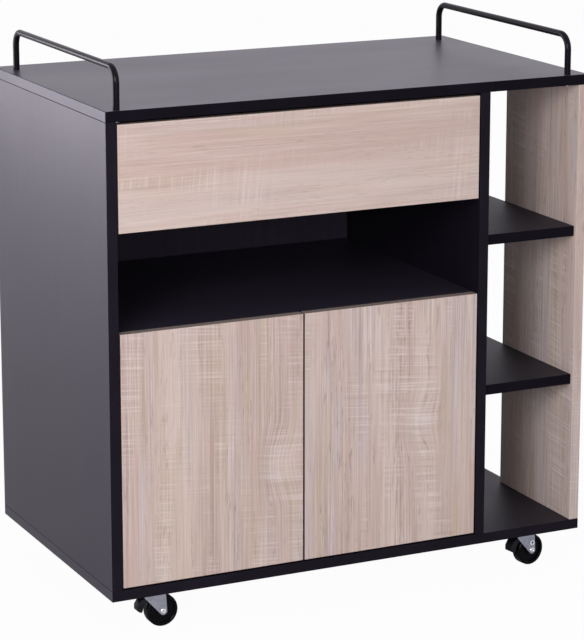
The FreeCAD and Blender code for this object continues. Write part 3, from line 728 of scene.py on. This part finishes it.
def stand_for(piece: bpy.types.Object, node: str) -> bpy.types.Object:
    """Let a piece take a CAD node's place and body, and hide the node.

    Args:
        piece: The piece.
        node: The CAD node.

    Returns:
        The piece.
    """
    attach(piece, node_body(node))
    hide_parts(node)
    LOG.info("%s is dressed", node)
    return piece


def paint(target: bpy.types.Object, *finishes: Finish) -> None:
    """Give an object its finishes, the first one everywhere.

    Args:
        target: The object.
        finishes: Its finishes, in the order of its faces' material numbers.
    """
    target.data.materials.clear()
    for finish in finishes:
        target.data.materials.append(finish.material())


def as_mesh(form: bmesh.types.BMesh, name: str, broad: float = math.inf) -> bpy.types.Mesh:
    """Close an edited form and make a mesh of it, shaded smoothly apart from its sharp edges.

    Args:
        form: The form.
        name: The mesh's name.
        broad: Faces from this size, in square metres, are flat and shaded so.

    Returns:
        The mesh.
    """
    mesh = bpy.data.meshes.new(name)
    form.to_mesh(mesh)
    form.free()
    mesh.set_sharp_from_angle(angle=SHARP_ANGLE)
    for face in mesh.polygons:
        face.use_smooth = face.area < broad
    return mesh


def join_rings(form: bmesh.types.BMesh, rings: list[list[bmesh.types.BMVert]], closed: bool) -> None:
    """Lay faces from each ring of points to the next.

    Args:
        form: The form that the points belong to.
        rings: Rings with as many points each.
        closed: Whether the last ring joins the first.
    """
    for here, following in zip(rings, rings[1:] + rings[:1] if closed else rings[1:]):
        for index in range(len(here)):
            after = (index + 1) % len(here)
            form.faces.new((here[index], here[after], following[after], following[index]))


def eased(node: str, ease: float, shortest: float = 0.006) -> bpy.types.Object:
    """A copy of a CAD node's mesh with its long edges rounded over.

    Args:
        node: The CAD node.
        ease: The radius of the rounding, in metres.
        shortest: Edges shorter than this, such as those of holes, stay sharp.

    Returns:
        The new piece, which takes the node's place.
    """
    form = bmesh.new()
    form.from_mesh(frame["nodes"][node].data)
    bmesh.ops.remove_doubles(form, verts=form.verts, dist=WELD_GAP)
    bmesh.ops.dissolve_limit(form, angle_limit=FLAT_ANGLE, verts=form.verts, edges=form.edges)
    edges = [
        edge
        for edge in form.edges
        if len(edge.link_faces) == 2
        and edge.calc_length() > shortest
        and edge.calc_face_angle(0) > ROUNDED_ANGLE
    ]
    bmesh.ops.bevel(
        form, geom=edges, offset=ease, offset_type="OFFSET", segments=EASE_STEPS, profile=ROUND_PROFILE,
        affect="EDGES", clamp_overlap=True,
    )
    return stand_for(show(f"{node}_eased", as_mesh(form, node, BROAD_AREA)), node)


def turned(name: str, profile: Section, segments: int = 64) -> bpy.types.Mesh:
    """Turn a closed outline about the Y axis.

    Args:
        name: The mesh's name.
        profile: Points as radius and place along the axis.
        segments: Steps round the axis.

    Returns:
        The turned mesh.
    """
    form = bmesh.new()
    rings = []
    for step in range(segments):
        angle = 2 * math.pi * step / segments
        rings.append([
            form.verts.new((radius * math.cos(angle), offset, radius * math.sin(angle)))
            for radius, offset in profile
        ])
    join_rings(form, rings, closed=True)
    bmesh.ops.recalc_face_normals(form, faces=form.faces)
    return as_mesh(form, name)


def on_axis(name: str, profile: Section, centre: Vector, axis: Vector) -> bpy.types.Object:
    """A turned piece on an axis.

    Args:
        name: The piece's name.
        profile: Its section, as radius and place along the axis.
        centre: Where the section's zero lies.
        axis: The direction of the axis.

    Returns:
        The piece.
    """
    piece = show(name, turned(name, profile))
    turn = Vector((0, 1, 0)).rotation_difference(axis).to_matrix().to_4x4()
    piece.data.transform(Matrix.Translation(centre) @ turn)
    return piece


def both_ends(half: Section) -> Section:
    """A closed section from its half on one side of the middle."""
    return half + [(radius, -offset) for radius, offset in reversed(half)]


def band_edges(piece: bpy.types.Object, thin: Axis, facing: tuple[Axis, ...], least: float) -> None:
    """Give a board's edges the finishes after its first.

    Args:
        piece: The board.
        thin: The axis across its two broad sides, which keep the first finish.
        facing: The axis that the edges with each further finish face along.
        least: How squarely an edge must face that axis, from 0 to 1.
    """
    for face in piece.data.polygons:
        slant = [abs(part) for part in face.normal]
        if slant[thin.value] > BROAD_FACING:
            continue
        for index, axis in enumerate(facing, 1):
            if axis is not thin and slant[axis.value] > least:
                face.material_index = index


@dataclass(frozen=True)
class Board:
    """One board: its finish, the axis across its broad sides, its edge band and one more finish.

    The third finish is for the edges to the left and right, and for a broad side that faces its way.
    """

    node: str
    finish: Finish
    thin: Axis
    edge: Finish = BLACK_EDGE
    third: Finish = BLACK_X
    third_way: Point = (0, 0, 0)


@dataclass
class Boards:
    """Every flat board of the carcass and the drawer, with eased and banded edges."""

    ease: float = 0.0006
    square: float = 0.98
    edge_facing: float = 0.5
    boards: tuple[Board, ...] = (
        Board("top_panel", BLACK_X, Axis.Z, DEEP_EDGE),
        Board("bottom_panel", BLACK_Y_PAINTED_SHADE, Axis.Z),
        Board("compartment_shelf", BLACK_SHELF_PAINTED_LIGHT, Axis.Z),
        Board("cupboard_shelf", BLACK_X, Axis.Z),
        Board("upper_side_shelf", BLACK_Y_PAINTED_SHADE, Axis.Z, DEEP_EDGE),
        Board("lower_side_shelf", BLACK_Y_PAINTED_SHADE, Axis.Z, DEEP_EDGE),
        Board("left_side_panel", BLACK_Z, Axis.X),
        # The divider's left face takes the inside finish's painted shade
        Board("divider_panel", BLACK_Z, Axis.X, third=BLACK_INSIDE_PAINTED_SHADE, third_way=(-1, 0, 0)),
        Board("drawer_left_side", BLACK_Y_PAINTED_SHADE, Axis.X),
        Board("drawer_right_side", BLACK_Y_PAINTED_SHADE, Axis.X),
        Board("drawer_back", BLACK_X, Axis.Y),
        Board("back_panel", HARDBOARD, Axis.Y, third=HARDBOARD_BACK, third_way=(0, 1, 0)),
        Board("drawer_bottom", HARDBOARD, Axis.Z),
    )

    def build(self) -> None:
        """Round the boards' edges over and band them, with the band's finish on the rounding."""
        for board in self.boards:
            piece = eased(board.node, self.ease)
            paint(piece, board.finish, board.edge, board.third)
            band_edges(piece, board.thin, (Axis.Y, Axis.X), self.edge_facing)
            for face in piece.data.polygons:
                if max(map(abs, face.normal)) < self.square:
                    face.material_index = 1
                elif face.normal.dot(board.third_way) > self.square:
                    face.material_index = 2


@dataclass(frozen=True)
class OakFront:
    """One oak board and its figure, with the knot's place as shares of its width and height."""

    node: str
    grain: Axis
    thin: Axis
    seed: float
    figure: float
    # Below 1 the board's tone is darkened: painted shade, used on the doors
    shade: float
    wash: float
    knot_shares: tuple[float, float] | None = None

    def knot(self) -> Point | None:
        """Find the knot on the board's front.

        Returns:
            The knot's place, or none.
        """
        if self.knot_shares is None:
            return None
        across, up = self.knot_shares
        low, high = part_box(self.node)
        return (low.x + across * (high.x - low.x), low.y, low.z + up * (high.z - low.z))

    def finish(self) -> SawnOak:
        """The oak of this board alone."""
        return SawnOak(
            f"sawn oak, {self.node.replace('_', ' ')}", self.grain, self.seed,
            shade=self.shade, figure=self.figure, wash=self.wash, knot=self.knot(),
        )


@dataclass
class OakFronts:
    """The drawer front, the doors and the right side panel."""

    ease: float = 0.0009
    edge_facing: float = 0.9
    fronts: tuple[OakFront, ...] = (
        OakFront("drawer_front", Axis.X, Axis.Y, 3.3, 0.8, 1.0, 0.30),
        # The doors' shade below 1 is painted shade: both doors are darkened, the left one more, to stand for
        # less light below the drawer
        OakFront("left_door", Axis.Z, Axis.Y, 17.1, 1.1, 0.93, 0.60, (0.86, 0.41)),
        OakFront("right_door", Axis.Z, Axis.Y, 29.7, 1.55, 0.98, 0.70, (0.66, 0.50)),
        OakFront("right_side_panel", Axis.Z, Axis.X, 41.9, 1.5, 1.0, 0.65),
    )

    def build(self) -> None:
        """Round the fronts' edges over and give each its own figure."""
        for front in self.fronts:
            piece = eased(front.node, self.ease)
            paint(piece, front.finish(), OAK_EDGE_FLAT, OAK_EDGE_SIDE_PAINTED_SHADE, OAK_EDGE_FRONT)
            band_edges(piece, front.thin, (Axis.Z, Axis.X, Axis.Y), self.edge_facing)


@dataclass
class RodHandle:
    """A handle bent from one round rod that stands on two posts."""

    node: str
    bend: float = 0.022
    bend_steps: int = 14
    sides: int = 28

    def radius(self) -> float:
        """Half of the rod's thickness."""
        low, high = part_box(self.node)
        return (high.x - low.x) / 2

    def path(self, radius: float) -> list[Vector]:
        """The rod's centre line.

        Args:
            radius: Half of the rod's thickness.

        Returns:
            Points from the foot of the front post to the foot of the rear one.
        """
        low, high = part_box(self.node)
        across = (low.x + high.x) / 2
        front, rear = low.y + radius, high.y - radius
        top = high.z - radius
        points = [Vector((across, front, low.z))]
        for centre, start in ((front + self.bend, math.pi), (rear - self.bend, math.pi / 2)):
            for step in range(self.bend_steps + 1):
                angle = start - math.pi / 2 * step / self.bend_steps
                along = centre + self.bend * math.cos(angle)
                up = top - self.bend + self.bend * math.sin(angle)
                points.append(Vector((across, along, up)))
        points.append(Vector((across, rear, low.z)))
        return points

    def build(self) -> None:
        """Sweep a round section along the centre line."""
        radius = self.radius()
        points = self.path(radius)
        side = Vector((1, 0, 0))
        turns = [2 * math.pi * step / self.sides for step in range(self.sides)]
        form = bmesh.new()
        rings = []
        for index, point in enumerate(points):
            before, after = points[max(index - 1, 0)], points[min(index + 1, len(points) - 1)]
            up = side.cross((after - before).normalized())
            rings.append([
                form.verts.new(point + radius * (side * math.cos(turn) + up * math.sin(turn)))
                for turn in turns
            ])
        join_rings(form, rings, closed=False)
        form.faces.new(rings[0])
        form.faces.new(rings[-1])
        bmesh.ops.recalc_face_normals(form, faces=form.faces)
        piece = stand_for(show(f"{self.node}_rod", as_mesh(form, self.node)), self.node)
        paint(piece, POWDER)


@dataclass
class Caster:
    """One swivel caster: pressed fork, riveted axle, moulded wheel and, in front, a brake pedal.

    The axle head's section has radii and depths below its crown, the eyelet's has radii and heights
    above the fork's leg.
    """

    corner: str
    braked: bool
    fork_ease: float = 0.0005
    fork_shortest: float = 0.0018
    pedal_ease: float = 0.0012
    pedal_shortest: float = 0.002

    bore: float = 0.00305
    tread_round: float = 0.0028
    tread_steps: int = 5
    rim_width: float = 0.005
    rim_break: float = 0.0006
    rim_drop: float = 0.0005
    web_drop: float = 0.0035
    hub_radius: float = 0.0085
    hub_proud: float = 0.0006
    hub_break: float = 0.0006
    hub_draft: float = 0.0004

    pin: float = 0.003
    head: float = 0.00475
    head_height: float = 0.0016
    head_rim: float = 0.0002
    head_section: tuple[tuple[float, float], ...] = (
        (0.0002, 0.0010), (0.0014, 0.0009), (0.0021, 0.0001), (0.0030, 0), (0.0040, 0.0003), (0.0046, 0.0009),
    )

    eyelet_corner: str = "front_right"
    eyelet_rise: float = 0.0125
    eyelet_section: tuple[tuple[float, float], ...] = (
        (0.0001, 0.0001), (0.0017, 0.0001), (0.0020, 0.0009), (0.0029, 0.0016), (0.0038, 0.0015),
        (0.0046, 0.0006), (0.0047, -0.0002), (0.0001, -0.0002),
    )

    def wheel_profile(self) -> Section:
        """The wheel's section: tread with round shoulders, recessed web and a proud hub.

        Returns:
            Points as radius and place along the axis.
        """
        low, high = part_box("rear_left_wheel")
        radius = (high.z - low.z) / 2
        hub = (high.y - low.y) / 2
        half = hub - self.hub_proud
        rim = radius - self.rim_width
        web = half - self.web_drop
        turns = [math.pi / 2 * step / self.tread_steps for step in range(self.tread_steps + 1)]
        shoulder = [
            (
                radius - self.tread_round + self.tread_round * math.sin(turn),
                half - self.tread_round + self.tread_round * math.cos(turn),
            )
            for turn in turns
        ]
        return both_ends([
            (self.bore, hub),
            (self.hub_radius - self.hub_break, hub),
            (self.hub_radius, hub - self.hub_break),
            (self.hub_radius + self.hub_draft, web),
            (rim - self.rim_break, web),
            (rim, half - self.rim_drop),
            (rim + self.rim_break, half),
            *shoulder,
        ])

    def axle_profile(self, reach: float) -> Section:
        """The riveted pin's section: a shaft between two round-edged heads with a dimple.

        Args:
            reach: Half of the axle's length.

        Returns:
            Points as radius and place along the axis.
        """
        under = reach - self.head_height
        return both_ends([
            *((radius, reach - depth) for radius, depth in self.head_section),
            (self.head, under + self.head_rim),
            (self.head, under),
            (self.pin, under),
        ])

    def eyelet(self, centre: Vector, outward: Vector, reach: float) -> None:
        """The pressed ring in the fork's outer leg, above the axle, with its middle painted dark: painted
        shade for the ring's hole.

        Args:
            centre: The middle of the wheel.
            outward: The direction from there to the outer leg.
            reach: Half of the axle's length.
        """
        section = list(self.eyelet_section)
        seat = centre + outward * (reach - self.head_height) + Vector((0, 0, self.eyelet_rise))
        ring = on_axis(f"{self.corner}_eyelet", section, seat, outward)
        paint(ring, BURNISHED_PAINTED_GLINT, NYLON)
        # The flat disc in the middle is painted black nylon: painted shade for the ring's hole
        for face in ring.data.polygons:
            face.material_index = int(face.index % len(section) == 0)
        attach(ring, node_body(f"{self.corner}_fork"))

    def build(self) -> None:
        """Turn the wheel and the axle and ease the pressed and moulded pieces."""
        spin = joint(f"{self.corner}_wheel_spin")
        axis, centre = Vector(spin["axis"]), Vector(spin["pos_m"])
        wheel = on_axis(f"{self.corner}_moulded_wheel", self.wheel_profile(), centre, axis)
        paint(stand_for(wheel, f"{self.corner}_wheel"), TREAD)
        pin = frame["nodes"][f"{self.corner}_axle"]
        reach = max(abs((pin.matrix_world @ vertex.co - centre).dot(axis)) for vertex in pin.data.vertices)
        rivet = on_axis(f"{self.corner}_rivet", self.axle_profile(reach), centre, axis)
        paint(stand_for(rivet, f"{self.corner}_axle"), RIVET)
        paint(eased(f"{self.corner}_fork", self.fork_ease, self.fork_shortest), ZINC)
        if self.braked:
            paint(eased(f"{self.corner}_brake_pedal", self.pedal_ease, self.pedal_shortest), NYLON)
        if self.corner == self.eyelet_corner:
            self.eyelet(centre, axis if axis.y < 0 else -axis, reach)


@dataclass
class Ironmongery:
    """The fittings and fasteners that keep their CAD shape."""

    finishes: dict[Finish, tuple[str, ...]] = field(default_factory=lambda: {
        ZINC: (
            "handle_screws", "cam_bolts", "shelf_pins", "drawer_screws", "rail_screws", "drawer_rail_screws",
            "hinge_screws", "left_cup_screws", "right_cup_screws", "caster_screws", "caster_plates",
            "caster_kingpins",
        ),
        CAST_ZINC: ("cam_locks",),
        RUNNER_ZINC: (
            "left_cabinet_rail", "right_cabinet_rail", "left_drawer_rail", "right_drawer_rail",
            "left_ball_cage", "right_ball_cage",
        ),
        NICKEL: (
            "hinge_arms", "hinge_plates", "left_hinge_cups", "right_hinge_cups", "left_hinge_links",
            "right_hinge_links",
        ),
        BEECH: ("wooden_dowels", "drawer_dowels"),
    })

    def build(self) -> None:
        """Paint each node with its metal or wood."""
        for finish, nodes in self.finishes.items():
            for node in nodes:
                paint(frame["nodes"][node], finish)
                LOG.info("%s is painted", node)


def level_by_ray(tree: bpy.types.NodeTree, direct: float, mirrored: float, other: float) -> Socket:
    """A level that depends on the kind of ray.

    Args:
        tree: The node tree.
        direct: The level for the camera's own rays.
        mirrored: The level for reflections and refractions.
        other: The level for the light that falls on surfaces.

    Returns:
        The level.
    """
    path = tree.nodes.new("ShaderNodeLightPath")
    rays = {"Is Transmission Ray": mirrored, "Is Glossy Ray": mirrored, "Is Camera Ray": direct}
    level = None
    for name, value in rays.items():
        choice = tree.nodes.new("ShaderNodeMix")
        choice.inputs["A"].default_value = other
        if level is not None:
            tree.links.new(level, choice.inputs["A"])
        choice.inputs["B"].default_value = value
        tree.links.new(path.outputs[name], choice.inputs["Factor"])
        level = choice.outputs["Result"]
    return level


@dataclass(frozen=True)
class Lamp:
    """An oblong soft lamp: its place, the point that it faces, its sides in metres and its power.

    A card is seen in reflections but lights no matt surface.
    """

    name: str
    place: Point
    aim: Point
    wide: float
    high: float
    watts: float
    card: bool = False

    def build(self, colour: Colour) -> None:
        """Hang the lamp, out of the camera's sight.

        Args:
            colour: The colour of its light.
        """
        data = bpy.data.lights.new(self.name, "AREA")
        data.shape = "RECTANGLE"
        data.size = self.wide
        data.size_y = self.high
        data.energy = self.watts
        data.color = colour
        lamp = bpy.data.objects.new(self.name, data)
        lamp.location = self.place
        lamp.rotation_euler = (Vector(self.aim) - Vector(self.place)).to_track_quat("-Z", "Y").to_euler()
        lamp.visible_camera = False
        lamp.visible_diffuse = not self.card
        bpy.context.scene.collection.objects.link(lamp)


@dataclass
class Studio:
    """Pale floor, soft lamps and the camera."""

    floor_reach: float = 30
    floor_colour: Colour = (0.58, 0.58, 0.58)
    floor_lift: float = 0.97
    mirrored_lift: float = 0.03
    ambient: float = 0.643
    light_colour: Colour = (0.962, 0.924, 1.0)
    lamps: tuple[Lamp, ...] = (
        Lamp("key", (-2.2, -2.2, 1.5), (0, 0, 0.45), 1.2, 1.2, 52),
        Lamp("fill", (-1.0, -2.8, 0.9), (0, 0, 0.45), 1.2, 1.0, 7),
        Lamp("floor_wash", (-2.1, 2.4, 1.3), (-2.1, 2.4, 0), 0.6, 0.6, 32),
        Lamp("side_card", (-1.04, 1.05, 0.75), (0, 1.05, 0.75), 1.7, 0.5, 12.8, card=True),
    )
    camera_place: Point = (-1.80288, -3.75816, 1.44357)
    azimuth: float = -25.6947
    elevation: float = 12.4947
    focal_pixels: float = 2710.72
    picture_height: float = 640
    sensor: float = 36
    shift: float = -0.12
    sight: float = 100

    def world(self) -> None:
        """A white surround that lights softly."""
        world = bpy.data.worlds.new("studio")
        world.use_nodes = True
        tree = world.node_tree
        ground = tree.nodes["Background"]
        path = tree.nodes.new("ShaderNodeLightPath")
        tone = tree.nodes.new("ShaderNodeMix")
        tone.data_type = "RGBA"
        first, second = (item for item in tone.inputs if item.type == "RGBA")
        first.default_value = (*self.light_colour, 1)
        second.default_value = (1, 1, 1, 1)
        tree.links.new(path.outputs["Is Camera Ray"], tone.inputs["Factor"])
        tree.links.new(next(item for item in tone.outputs if item.type == "RGBA"), ground.inputs["Color"])
        tree.links.new(level_by_ray(tree, 1, 1, self.ambient), ground.inputs["Strength"])
        bpy.context.scene.world = world

    def floor(self) -> None:
        """A pale floor that shows near white and keeps a soft shadow."""
        form = bmesh.new()
        bmesh.ops.create_grid(form, x_segments=1, y_segments=1, size=self.floor_reach)
        mesh = as_mesh(form, "floor", BROAD_AREA)
        show("floor", mesh)
        material = bpy.data.materials.new("pale floor")
        material.use_nodes = True
        tree = material.node_tree
        tree.nodes.clear()
        output = tree.nodes.new("ShaderNodeOutputMaterial")
        mix = tree.nodes.new("ShaderNodeMixShader")
        matt = tree.nodes.new("ShaderNodeBsdfDiffuse")
        matt.inputs["Color"].default_value = (*self.floor_colour, 1)
        glow = tree.nodes.new("ShaderNodeEmission")
        tree.links.new(level_by_ray(tree, self.floor_lift, self.mirrored_lift, 0), mix.inputs["Fac"])
        tree.links.new(matt.outputs["BSDF"], mix.inputs[1])
        tree.links.new(glow.outputs["Emission"], mix.inputs[2])
        tree.links.new(mix.outputs["Shader"], output.inputs["Surface"])
        mesh.materials.append(material)

    def camera(self) -> None:
        """The camera at the photograph's viewing angle."""
        data = bpy.data.cameras.new("camera")
        data.sensor_width = self.sensor
        data.lens = self.focal_pixels / self.picture_height * self.sensor
        data.shift_y = self.shift
        data.clip_end = self.sight
        camera = bpy.data.objects.new("camera", data)
        turn, rise = math.radians(self.azimuth), math.radians(self.elevation)
        back = Vector((math.sin(turn) * math.cos(rise), -math.cos(turn) * math.cos(rise), math.sin(rise)))
        facing = back.to_track_quat("Z", "Y").to_matrix().to_4x4()
        camera.matrix_world = Matrix.Translation(self.camera_place) @ facing
        bpy.context.scene.collection.objects.link(camera)
        bpy.context.scene.camera = camera

    def build(self) -> None:
        """Set the floor, the lights and the camera."""
        bpy.context.scene.view_settings.view_transform = "Standard"
        self.world()
        self.floor()
        for lamp in self.lamps:
            lamp.build(self.light_colour)
        self.camera()
        LOG.info("the studio is set")


def main() -> None:
    """Build and dress every sub-assembly, then set the studio."""
    logging.basicConfig(level=logging.INFO, format="%(message)s")
    Boards().build()
    OakFronts().build()
    for side in SIDES:
        RodHandle(f"{side}_handle").build()
    for corner in CORNERS:
        Caster(corner, corner.startswith("front")).build()
    Ironmongery().build()
    Studio().build()


if __name__ == "__main__":
    main()
